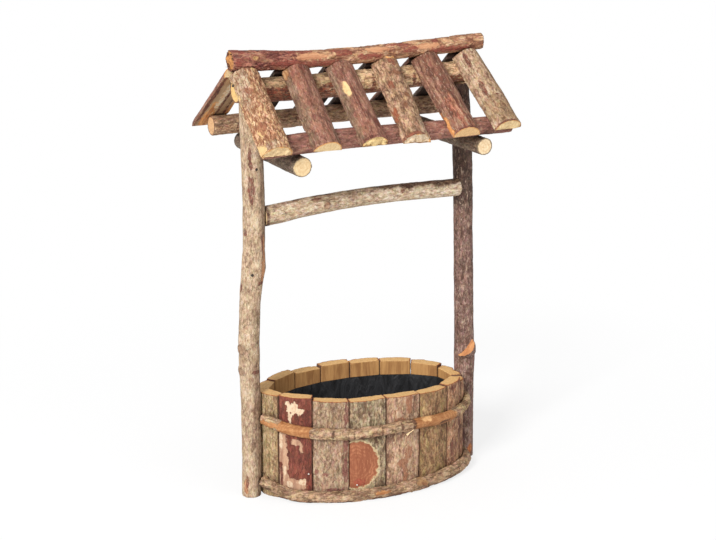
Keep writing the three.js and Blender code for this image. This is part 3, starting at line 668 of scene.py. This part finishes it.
# Round branches: the way each one runs, the side that its marks are turned from, and its look.
# A mark is how far along, degrees round from the front or top, length and width.
roundLooks = {
    # post_left's zone marks on its right side, 60 and 62 degrees round, are painted shade.
    "post_left": (up, front, look(bark=[(131, 106, 84), (162, 136, 110), (182, 158, 130), (200, 181, 157)],
        zone=[(106, 82, 64), (139, 113, 91), (160, 136, 112), (181, 160, 136)], accent=(144, 113, 89),
        grit=0.95, streak=0.25, crossShare=0.15, tinge=0.22, mottle=0.2, uneven=0.6, groove=0.15,
        flake=0.15, crack=0.1, valley=0.3, stain=(116, 66, 54), stainDark=(80, 44, 36), knotShare=0.4,
        coreShare=0.35, knotCore=(150, 118, 90), peel=(178, 128, 92), peelDark=(142, 94, 66),
        marks={"stain": [(389, -27, 24, 4), (380, -20, 10, 4), (355, -18, 25, 8), (343, -15, 14, 5),
            (306, -68, 9, 5), (243, -90, 9, 6), (249, 27, 5, 9), (292, 38, 26, 3), (147, 10, 4, 12),
            (17, -52, 16, 4)], "peel": [(288, 46, 32, 5), (263, 36, 34, 6), (13, -60, 22, 6)],
            "knot": [(174, -74, 12, 12), (148, -83, 11, 11)], "zone": [(70, 60, 240, 26),
            (330, 62, 220, 16)]})),
    # post_right's zone mark at its top and its lean, darker upwards, are painted shade under the roof.
    "post_right": (up, front, look(bark=[(79, 56, 48), (106, 80, 69), (128, 98, 87), (164, 137, 123)],
        zone=[(53, 38, 32), (75, 56, 46), (95, 73, 62), (124, 100, 86)], accent=(104, 76, 70),
        accentShare=0.4, speck=(190, 166, 144), speckShare=0.5, grit=1.0, streak=0.3, groove=0.2,
        flake=0.12, cross=(74, 56, 48), crossShare=0.3, split=(214, 156, 104), splitDark=(176, 112, 70),
        peel=(188, 110, 66), sawnFace={"looks": (-0.84, 0.04, 0.54), "low": 112, "high": 156}, lean=-0.2,
        marks={"peel": [(11, 16, 14, 6)], "zone": [(380, 0, 150, 110)]})),
    # The crossbar's thin zone rings at both ends, 0 and 241 along, are painted shade where it meets the
    # posts.
    "crossbar": (right, up, look(bark=[(152, 124, 100), (182, 158, 130), (200, 178, 152), (219, 204, 180)],
        zone=[(58, 40, 30), (84, 60, 46), (108, 82, 62), (136, 108, 84)], accent=(166, 132, 102), grit=1.2,
        streak=0.3, groove=0.15, flake=0.12, crossShare=0.2, swell=1.1, mottle=0.14, lean=0.12,
        knotShare=0.35, coreShare=0.35, knotCore=(172, 124, 92), stain=(130, 80, 62),
        stainDark=(104, 64, 50),
        marks={"zone": [(206, 11, 98, 18), (150, 9, 44, 11), (60, -2, 50, 6), (0, 90, 5, 220),
            (241, 90, 5, 220)], "knot": [(70, 66, 9, 8)], "stain": [(60, 30, 12, 4), (164, 50, 6, 4)]})),
    "tie_beam_left": (front, up, look(bark=[(70, 56, 46), (96, 80, 66), (118, 100, 84), (144, 124, 106)],
        accent=(92, 76, 62), groove=0.2, innerBark=(120, 104, 82))),
    "tie_beam_right": (front, up, look(bark=[(66, 52, 42), (92, 74, 60), (116, 96, 78), (146, 122, 100)],
        accent=(96, 72, 56), groove=0.2, end=(222, 200, 164), innerBark=(126, 108, 84))),
    "purlin_front": (right, up, look(bark=[(96, 60, 50), (128, 84, 72), (150, 104, 88), (174, 130, 112)],
        accent=(122, 66, 54), accentShare=0.4, groove=0.2, streak=0.5, grit=0.6)),
    "purlin_rear": (right, up, look(bark=[(101, 73, 55), (143, 109, 84), (171, 137, 107), (197, 162, 130)],
        accent=(92, 74, 58), groove=0.22, heart=(110, 70, 46), end=(206, 166, 122),
        endDark=(164, 120, 82))),
    # Of the ridge log's stain marks, the narrow bands beside the slats (82, 126, 158, 176 and 208 along) and
    # the long band along its underside are painted shade; the others are dark red bark.
    "ridge_log": (right, up, look(bark=[(159, 123, 89), (207, 168, 128), (231, 195, 154), (252, 223, 181)],
        zone=[(104, 82, 58), (140, 112, 82), (162, 132, 98), (186, 154, 116)], accent=(150, 100, 72),
        end=(222, 184, 118), crossShare=0.5, cross=(134, 96, 66), groove=0.4, flake=0.5, flakeTone=0.2,
        stain=(132, 68, 48), stainDark=(70, 36, 28), peel=(186, 120, 76), peelDark=(146, 74, 48),
        bare=(190, 160, 122),
        marks={"zone": [(40, 40, 150, 60)], "stain": [(40, 118, 60, 18), (105, 116, 26, 18),
            (82, 90, 12, 30), (126, 90, 8, 30), (158, 96, 5, 20), (208, 98, 6, 14), (176, 90, 6, 20),
            (150, 160, 700, 20), (259, 108, 22, 6)], "peel": [(36, 98, 14, 5)],
            "bare": [(104, 56, 10, 5)]})),
    "ridge_cap": (right, up, look(bark=[(128, 86, 63), (164, 118, 88), (184, 141, 107), (202, 167, 132)],
        zone=[(83, 41, 37), (116, 65, 57), (141, 85, 72), (168, 116, 94)], accent=(190, 142, 102),
        accentShare=0.28, accentFrom=0.52, mottleScale=110.0, mottle=0.13, grit=1.25, crack=0.5, lean=-0.03,
        flake=0.5, flakeSize=4.5, groove=0.4, grooveScale=0.3, lump=0.7, deep=(96, 50, 38), valley=0.6,
        streak=0.6, flakeTone=0.3, flakeScale=190.0, stain=(142, 74, 60), stainDark=(108, 50, 42),
        knotCore=(184, 146, 96), bare=(200, 160, 116), peel=(200, 150, 112), peelDark=(172, 116, 84),
        end=(190, 134, 78), endDark=(116, 66, 38), heart=(52, 28, 18), endRagged=3.4,
        hollow={"across": 1.5, "out": 4.0, "width": 9, "height": 8},
        marks={"zone": [(20, 60, 110, 110), (312, 60, 6, 110)], "stain": [(131, 84, 18, 8),
            (122, 62, 16, 5), (212, 100, 20, 7), (204, 66, 16, 6), (197, 46, 18, 5), (243, 35, 8, 6),
            (262, 121, 48, 8), (102, 138, 52, 8), (62, 122, 40, 6), (10, 20, 18, 7), (46, 10, 20, 6),
            (8, 96, 10, 9), (80, 40, 30, 5), (160, 120, 30, 6)], "knot": [(26, 73, 9, 8)],
            "peel": [(92, 92, 40, 8), (170, 80, 30, 7), (232, 84, 34, 7)]})),
}
for seed, (node, (along, out, finish)) in enumerate(roundLooks.items()):
    dressLog(node, finish, "log", straightSpace(node, along, out), seed + 1)
print("round branches done")

# Half-round slats, whose marks are placed up from the foot and to the right of the middle
redBark = look(bark=[(98, 62, 48), (128, 84, 68), (147, 103, 84), (170, 129, 107)],
    zone=[(93, 68, 52), (120, 92, 73), (139, 109, 87), (162, 132, 108)], accent=(156, 96, 74), mottle=0.1,
    streak=0.7, fibre=0.7, grit=0.4, groove=0.25, grooveStretch=9.0, flake=0.1, innerBark=(196, 140, 84))
tanBark = look(bark=[(128, 92, 68), (166, 128, 98), (188, 152, 120), (210, 180, 148)],
    zone=[(116, 92, 70), (152, 124, 98), (176, 148, 120), (200, 174, 146)], accent=(152, 104, 78), grit=1.1,
    innerBark=(190, 138, 84))
greyBark = look(bark=[(74, 58, 48), (104, 84, 70), (128, 106, 88), (152, 130, 108)], accent=(100, 74, 60),
    groove=0.25, split=(96, 70, 50), splitDark=(58, 40, 30))
# Painted shade for rear slats 2 to 6 under the roof: dark undersides, dark zone tones along both long edges,
# and heads that take the dark split colour under the ridge cap.
paintedShadeUnder = {
    "split": (62, 42, 32), "splitDark": (34, 22, 17), "isHeadInPaintedShade": True,
    "zone": [(34, 22, 17), (50, 34, 26), (64, 44, 34), (84, 60, 46)],
    "marks": {"zone": [(60, 19, 200, 14), (60, -19, 200, 10)]},
}
slatLooks = {
    "slat_front_1": look(tanBark, bark=[(134, 92, 64), (179, 135, 100), (201, 159, 122), (218, 188, 151)],
        groove=1.1, grooveScale=0.55, grooveStretch=4.0, flake=0.6, flakeSize=2.8, deep=(128, 76, 52),
        crack=0.8, crackWidth=0.13, flakeTone=0.22, grit=0.7, flakeScale=330.0, zoneGroove=0.3, streak=0.65,
        fibre=0.8, mottle=0.15, speckShare=0.12, accentShare=0.1, stain=(150, 98, 72),
        stainDark=(122, 72, 52), bare=(204, 172, 122), peel=(186, 150, 104), end=(216, 190, 146),
        endRagged=1.6,
        marks={"zone": [(96, -12, 80, 18), (6, -6, 16, 14)], "stain": [(31, -9, 19, 10), (81, -7.8, 8, 8),
            (113, 1, 14, 5)], "bare": [(26, -12, 12, 7), (5, -17, 16, 8), (24, -20.5, 30, 4),
            (88, -20, 52, 7), (113, 6.5, 12, 5)]}),
    # On slats 2 and 3 the zone marks along the left edge, 15 to the left, are painted shade in redBark's
    # zone tones.
    "slat_front_2": look(redBark, lean=-0.08, end=(220, 194, 148), peel=(186, 140, 98),
        peelDark=(150, 104, 68),
        marks={"zone": [(60, -15, 150, 12), (20, 14, 40, 8)], "peel": [(106, -14, 12, 5)],
            "stain": [(108, 4, 16, 8)]}),
    "slat_front_3": look(redBark, edgeBreak=1.4, uneven=0.35, endRagged=3.2, end=(222, 196, 142),
        endDark=(188, 148, 90), bare=(222, 188, 136), peel=(196, 154, 104),
        marks={"zone": [(56, -15, 130, 10)], "bare": [(72.5, -8, 21, 6.4)], "stain": [(50, -2.4, 62, 2),
            (3, -6, 4, 14), (22, 8, 14, 7)]}),
    "slat_front_4": look(tanBark, bark=[(108, 77, 59), (149, 115, 87), (174, 137, 108), (195, 162, 131)],
        stain=(142, 82, 60), stainDark=(96, 52, 38), end=(220, 202, 176), peel=(172, 104, 70),
        peelDark=(124, 68, 48), endRagged=3.2, lean=-0.08, groove=0.4, lump=1.4, flake=0.5, flakeTone=0.2,
        crack=0.4,
        marks={"knot": [(89, 2, 11, 10), (56, 4, 9, 8), (44, -3, 9, 8)], "stain": [(108, 0, 9, 6),
            (105, 4, 10, 6), (2, -6, 7, 26), (74, -8, 12, 5)], "peel": [(35, -13.5, 18, 3.5)],
            "zone": [(18, 10, 30, 8)]}),
    "slat_front_5": look(redBark, lean=-0.12, streak=1.1, groove=0.35, speckShare=0.35, end=(220, 180, 128),
        bark=[(92, 57, 44), (120, 80, 63), (139, 99, 80), (167, 131, 106)],
        zone=[(109, 57, 44), (141, 86, 66), (164, 108, 84), (194, 145, 116)], peel=(204, 142, 84),
        peelDark=(174, 106, 60),
        marks={"zone": [(28, -3, 46, 13), (8, 6, 24, 8)], "peel": [(14, -16.5, 34, 6)],
            "stain": [(1, 0, 4, 26)]}),
    "slat_front_6": look(tanBark, bark=[(132, 102, 78), (164, 134, 106), (184, 154, 126), (206, 182, 154)],
        zone=[(104, 76, 55), (135, 106, 78), (155, 125, 95), (176, 148, 116)], stain=(112, 56, 43),
        stainDark=(78, 38, 30), groove=0.2, endRagged=1.2, edgeBreak=2.5, uneven=0.6, end=(222, 196, 148),
        marks={"stain": [(95, -8.3, 26, 4.6), (52, -8.8, 21, 5), (60, 4, 2.6, 5), (40, 2, 2.6, 6),
            (42, 9, 2.4, 4), (1, -4, 4, 26)], "zone": [(22, -2, 36, 36), (60, 12, 130, 10)]}),
    "slat_rear_1": look(redBark, split=(178, 148, 112), splitDark=(126, 94, 66), peel=(198, 138, 80),
        peelDark=(150, 92, 52), bare=(204, 186, 156), stain=(110, 54, 42), stainDark=(62, 28, 24),
        splitMarks={"peel": [(18, 8, 70, 12), (40, -14, 60, 5)], "bare": [(74, 4, 70, 7)],
            "stain": [(60, 0, 110, 3.2), (55, -9, 90, 2.6), (60, 17, 130, 5)]}),
}
for i in range(2, 7):
    slatLooks[f"slat_rear_{i}"] = look(redBark if i % 2 else greyBark, **paintedShadeUnder)
slope = {"front": (Vector((0, 0.81, 0.58)), Vector((0, -0.58, 0.81))),
         "rear": (Vector((0, -0.81, 0.58)), Vector((0, 0.58, 0.81)))}
for seed, (node, finish) in enumerate(slatLooks.items()):
    along, out = slope[node.split("_")[1]]
    dressLog(node, finish, "slat", straightSpace(node, along, out), seed + 21)
print("slats done")

# Staves, whose marks are placed up from the ground and to the right of the middle
staveTones = {
    "olive": [(113, 90, 61), (145, 120, 86), (167, 142, 104), (188, 164, 128)],
    "maroon": [(77, 37, 30), (102, 52, 40), (121, 66, 51), (142, 86, 69)],
    "grey": [(111, 87, 67), (143, 115, 91), (164, 136, 110), (184, 160, 134)],
    "moss": [(98, 82, 62), (134, 114, 88), (162, 142, 112), (192, 174, 146)],
    "pink": [(126, 94, 74), (160, 126, 100), (182, 148, 120), (204, 174, 146)],
    "brown": [(96, 68, 46), (129, 96, 66), (154, 120, 86), (179, 146, 106)],
    "russet": [(107, 71, 52), (146, 105, 78), (171, 130, 98), (197, 158, 122)],
}
plainStave = look(
    # Staves take a larger share of the painted shade in their relief's low places (valley).
    speckShare=0.35, valley=0.75, streak=0.5, flake=0.25, groove=0.2, grooveStretch=3.0,
    split=(190, 144, 90), splitDark=(146, 102, 60), end=(220, 178, 120), endDark=(190, 142, 84),
    innerBark=(156, 88, 50))


def staveLook(tones, **changes):
    return look(plainStave, bark=staveTones[tones], **changes)


staveLooks = {f"stave_{i + 1}": staveLook(tones) for i, tones in enumerate(
    ("grey", "russet", "moss", "pink", "grey", "brown", "maroon", "grey"))}
staveLooks.update({
    "stave_9": staveLook("olive", accent=(136, 110, 74)),
    "stave_10": staveLook("maroon", bare=(202, 180, 152), peel=(184, 147, 118), peelDark=(148, 108, 86),
        accent=(132, 66, 52), speckShare=0.1, grit=0.4, speck=(150, 98, 80),
        marks={"bare": [(109, -2, 13, 12), (105, 6, 8, 9), (97, -4.5, 16, 4), (114, -7, 6, 5),
            (68, -16, 16, 5), (33, -12, 12, 4), (22, 9, 9, 9), (19, -5, 7, 9)],
            "peel": [(60, -14.5, 40, 14), (44, -11.5, 22, 11), (24, -13, 30, 12), (69, 2, 7, 11),
            (63, 8, 11, 4), (19, -1, 15, 30)], "stain": [(28, -15, 24, 4)]}),
    "stave_11": staveLook("grey", stain=(128, 80, 70), stainDark=(94, 52, 46),
        marks={"stain": [(67, 17, 30, 6), (34, 16, 34, 6), (98, 17.5, 34, 5), (35, -15.6, 7, 4),
            (32, -4.7, 4, 7), (12, 4, 8, 20)]}),
    "stave_12": staveLook("moss", rimShare=0.85, peel=(170, 110, 78), peelDark=(132, 76, 52),
        bare=(198, 142, 100), rim=(198, 174, 134), peelRings=0.8, stain=(150, 76, 56),
        stainDark=(120, 56, 44),
        marks={"peel": [(41, -14, 54, 52)], "stain": [(20, -10, 8, 14)]}),
    "stave_13": staveLook("pink", stain=(156, 108, 80), stainDark=(130, 84, 62),
        marks={"stain": [(103, 7, 28, 8), (47, 6, 16, 11), (36, -2, 9, 16), (20, 2, 22, 6),
            (84, -4, 12, 14)]}),
    "stave_14": staveLook("brown", accent=(152, 136, 80), accentShare=0.35, speck=(170, 152, 104)),
    "stave_15": staveLook("russet", stain=(112, 62, 50), stainDark=(80, 42, 36),
        marks={"stain": [(107, -5, 6, 16), (60, 10, 70, 5), (34, -8, 24, 6), (112, 6, 14, 8)]}),
    "stave_16": staveLook("russet", accent=(140, 74, 60)),
})
for seed, (node, finish) in enumerate(staveLooks.items()):
    low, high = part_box(node)
    beside = (np.array((low + high) / 2)[:2] - basinMiddle) / mm
    outward = Vector((beside[0] / basin["length"] ** 2, beside[1] / basin["width"] ** 2, 0)).normalized()
    toLog = straightSpace(node, up, outward, isPlumb=True)
    dressLog(node, finish, "stave", toLog, seed + 41, heart=(0.0, -0.03, 0.0))
print("staves done")

# Hoops, whose marks are placed round the basin from its left end and up from the ground
hoopLook = look(bark=[(109, 83, 60), (147, 117, 90), (171, 139, 109), (194, 165, 135)],
    zone=[(112, 88, 62), (154, 126, 90), (182, 152, 112), (208, 180, 140)], accent=(150, 108, 76),
    groove=0.4, flake=0.6, flakeTone=0.16, crossShare=0.5, grit=1.0, endRagged=1.2, crack=0.4, lump=0.5,
    peel=(176, 124, 80), peelDark=(136, 84, 46), bare=(214, 168, 116), swell=1.8, peelRings=0.45,
    stain=(100, 68, 50), stainDark=(60, 40, 30))
# On the hoops, the long thin stain marks along the lower edge (76 to 78 up on the upper hoop, 2 to 4 up on
# the lower one) are painted shade under the hoop; the short upright ones are dark cracks.
hoopLooks = {
    "hoop_upper_front": look(hoopLook,
        marks={"peel": [(56, 84, 36, 60), (27, 89, 30, 7), (217, 80, 60, 60)], "zone": [(276, 82, 44, 60)],
            "stain": [(98, 80, 2.6, 12), (120, 80, 2, 10), (150, 80, 2.2, 12), (172, 81, 2.6, 12),
            (187, 83, 4, 16), (26, 82, 18, 5), (132, 76, 16, 3), (50, 78, 20, 3), (230, 76, 20, 3)],
            "bare": [(205, 84, 16, 4)]}),
    "hoop_upper_rear": look(hoopLook,
        marks={"peel": [(420, 82, 70, 60)], "stain": [(380, 80, 2.4, 12)]}),
    "hoop_lower_front": look(hoopLook, swell=1.4,
        marks={"knot": [(197, 9, 14, 9)], "bare": [(197, 10, 12, 7)], "stain": [(22, 14, 22, 5),
            (60, 2, 30, 4), (110, 2, 24, 3), (160, 3, 40, 4), (240, 4, 30, 4)], "peel": [(150, 8, 20, 4)]}),
    "hoop_lower_rear": look(hoopLook,
        marks={"peel": [(400, 8, 40, 6)]}),
}
for seed, (node, finish) in enumerate(hoopLooks.items()):
    dressLog(node, finish, "hoop", hoopSpace(), seed + 61)
print("hoops done")

# Small trim: nail heads, a splinter at the upper hoop and a twig on the ridge cap's left end.
# Places are in millimetres.
nails = {"radius": 1.6, "height": 0.8, "metal": 0.3, "tones": [(28, 22, 20), (62, 48, 40)], "heads": [
    ((-132.5, -11.4, 375.8), (0.21, -0.98, 0)), ((-139.9, -12.6, 259.7), (-0.27, -0.96, 0)),
    ((-158.4, -12.3, 468.3), (-1.0, -0.1, 0.2))]}
staples = {"radius": 1.0, "height": 0.6, "metal": 0.5, "tones": [(190, 182, 172), (236, 230, 220)],
           "heads": [((-90.3, -45.9, 32.3), (-0.6, -0.8, 0)), ((-40.0, -65.7, 17.1), (-0.3, -0.95, 0))]}
splinter = {"place": (20.0, -78.6, 74.0), "along": (0.72, -0.1, 0.5), "length": 10.5, "width": 4.0,
            "tones": [(214, 180, 134), (240, 214, 172)]}
twig = {"place": (-160.5, -3.0, 486.5), "along": (-0.9, -0.3, 0.25), "length": 4.5, "width": 1.6,
        "tones": [(92, 58, 44), (140, 96, 70)]}


def headMaterial(name, settings):
    material, tree = newMaterial(name)
    rust = noiseAt(tree, objectSpace(tree), 1500.0, 3.0, 0.6)
    colour = ramp(tree, rust, (0.4, 0.65), inLight(settings["tones"]))
    roughness = maths(tree, "MULTIPLY_ADD", rust, 0.4, 0.3)
    feedShader(tree, colour, roughness, rust, 0.4, 0.1, Metallic=settings["metal"])
    return material


def sliverMaterial(name, settings):
    material, tree = newMaterial(name)
    grain = noiseAt(tree, objectSpace(tree), 900.0, 3.0, 0.6, 0.4)
    colour = ramp(tree, grain, (0.35, 0.65), inLight(settings["tones"]))
    feedShader(tree, colour, 0.8, grain, 0.6, 0.3)
    return material


# Turns a shape to look along a direction, puts it in its place and makes it a piece of the object
def addPiece(name, bm, place, along, material):
    turn = Vector(along).normalized().to_track_quat("Z", "Y").to_matrix().to_4x4()
    bmesh.ops.transform(bm, matrix=Matrix.Translation(Vector(place) * mm) @ turn, verts=bm.verts)
    bmesh.ops.recalc_face_normals(bm, faces=bm.faces)
    mesh = bpy.data.meshes.new(name)
    bm.to_mesh(mesh)
    bm.free()
    mesh.polygons.foreach_set("use_smooth", [True] * len(mesh.polygons))
    mesh.materials.append(material)
    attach(addObject(name, mesh), "root")


def makeHeads(key, settings, material):
    for i, (place, facing) in enumerate(settings["heads"]):
        bm = bmesh.new()
        bmesh.ops.create_uvsphere(bm, u_segments=16, v_segments=8, radius=settings["radius"] * mm)
        for vert in bm.verts:
            vert.co.z *= settings["height"] / settings["radius"]
        addPiece(f"{key}_{i + 1}", bm, place, facing, material)


# A thin tapering sliver of wood, a little uneven
def makeSliver(name, settings, material):
    bm = bmesh.new()
    radius = settings["width"] / 2 * mm
    bmesh.ops.create_cone(bm, cap_ends=True, segments=10, radius1=radius, radius2=radius,
                          depth=settings["length"] * mm)
    longEdges = [edge for edge in bm.edges if abs(edge.verts[0].co.z - edge.verts[1].co.z) > mm]
    bmesh.ops.subdivide_edges(bm, edges=longEdges, cuts=9)
    for vert in bm.verts:
        share = vert.co.z / mm / settings["length"] + 0.5
        taper = (1 - 0.85 * share) * (0.8 + 0.2 * math.sin(9 * share))
        vert.co.x *= taper
        vert.co.y *= taper * 0.6
        vert.co.x += 0.5 * mm * math.sin(5 * share)
    addPiece(name, bm, settings["place"], settings["along"], material)


makeHeads("nail", nails, headMaterial("iron", nails))
makeHeads("staple", staples, headMaterial("zinc", staples))
makeSliver("hoop_splinter", splinter, sliverMaterial("fresh_wood", splinter))
makeSliver("cap_twig", twig, sliverMaterial("dry_twig", twig))
print("small trim done")


# Sawn board and plastic film keep their frame shapes
def boardMaterial():
    material, tree = newMaterial("board_finish")
    lengthways = {"Vector": objectSpace(tree), "Rotation": (0, math.pi / 2, 0)}
    turned = addNode(tree, "ShaderNodeMapping", lengthways).outputs[0]
    grain = placeGroup(tree, splitGrain, {"Space": turned})
    tones = inLight([(140, 98, 60), (190, 146, 94), (214, 176, 122)])
    colour = ramp(tree, grain["Streak"], (0.3, 0.5, 0.7), tones)
    feedShader(tree, colour, 0.8, grain["Fibre"], 0.5, 0.5)
    return material


def filmMaterial():
    material, tree = newMaterial("film_finish")
    crease = noiseAt(tree, stretched(tree, objectSpace(tree), 1.0, 0.4), 90.0, 4.0, 0.6, 1.5)
    colour = ramp(tree, crease, (0.3, 0.7), inLight([(22, 22, 23), (46, 46, 48)]))
    feedShader(tree, colour, maths(tree, "MULTIPLY_ADD", crease, 0.3, 0.3), crease, 0.9, 2.0)
    return material


for node, material in (("bottom_board", boardMaterial()), ("liner", filmMaterial())):
    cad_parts[node].data.materials.clear()
    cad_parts[node].data.materials.append(material)

# Floor, lamps and background
studio = {
    "floorSize": 12.0, "floorTone": 0.92, "worldLight": 0.54,
    "floorGlow": {"low": 0.2, "high": 0.8, "start": 0.75},  # from the object outwards, in metres
    "aim": (0, 0, 0.25),
    "key": {"place": (-4.2, -3.2, 3.2), "size": 1.7, "power": 400.0},
    "fill": {"place": (1.2, -2.6, 1.4), "size": 2.0, "power": 14.0},
}


def makeLamp(name, place, size, power):
    lamp = addObject(name, bpy.data.lights.new(name, "AREA"))
    lamp.location = place
    lamp.rotation_mode = "QUATERNION"
    lamp.rotation_quaternion = (Vector(place) - Vector(studio["aim"])).to_track_quat("Z", "Y")
    lamp.data.size = size
    lamp.data.energy = power


# The floor is lit like any other, and the camera sees it lifted to white, more so further out.
def floorMaterial():
    material, tree = newMaterial("floor_finish")
    tree.nodes.clear()
    grey = studio["floorTone"]
    plain = addNode(tree, "ShaderNodeBsdfDiffuse", {"Color": (grey, grey, grey, 1)})
    white = addNode(tree, "ShaderNodeEmission", {"Color": (1, 1, 1, 1), "Strength": 1.0})
    lift = stepBetween(tree, lengthOf(tree, objectSpace(tree)), **studio["floorGlow"])
    seen = addNode(tree, "ShaderNodeLightPath").outputs["Is Camera Ray"]
    both = addNode(tree, "ShaderNodeMixShader", {
        0: maths(tree, "MULTIPLY", seen, lift), 1: plain.outputs[0], 2: white.outputs[0],
    })
    addNode(tree, "ShaderNodeOutputMaterial", {"Surface": both.outputs[0]})
    return material


def makeStudio():
    bm = bmesh.new()
    bmesh.ops.create_grid(bm, x_segments=1, y_segments=1, size=studio["floorSize"] / 2)
    mesh = bpy.data.meshes.new("floor")
    bm.to_mesh(mesh)
    bm.free()
    mesh.materials.append(floorMaterial())
    addObject("floor", mesh)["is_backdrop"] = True

    world = bpy.data.worlds.new("studio")
    bpy.context.scene.world = world
    world.use_nodes = True
    tree = world.node_tree
    path = addNode(tree, "ShaderNodeLightPath").outputs
    direct = maths(tree, "MAXIMUM", path["Is Camera Ray"], path["Is Glossy Ray"])
    direct = maths(tree, "MAXIMUM", direct, path["Is Transmission Ray"])
    level = maths(tree, "MULTIPLY_ADD", direct, 1 - studio["worldLight"], studio["worldLight"])
    feed(tree, tree.nodes["Background"], {"Color": (1, 1, 1, 1), "Strength": level})
    for name in ("key", "fill"):
        makeLamp(name, **studio[name])


makeStudio()
bpy.context.scene.view_settings.view_transform = "Standard"
print("studio done")

low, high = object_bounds()
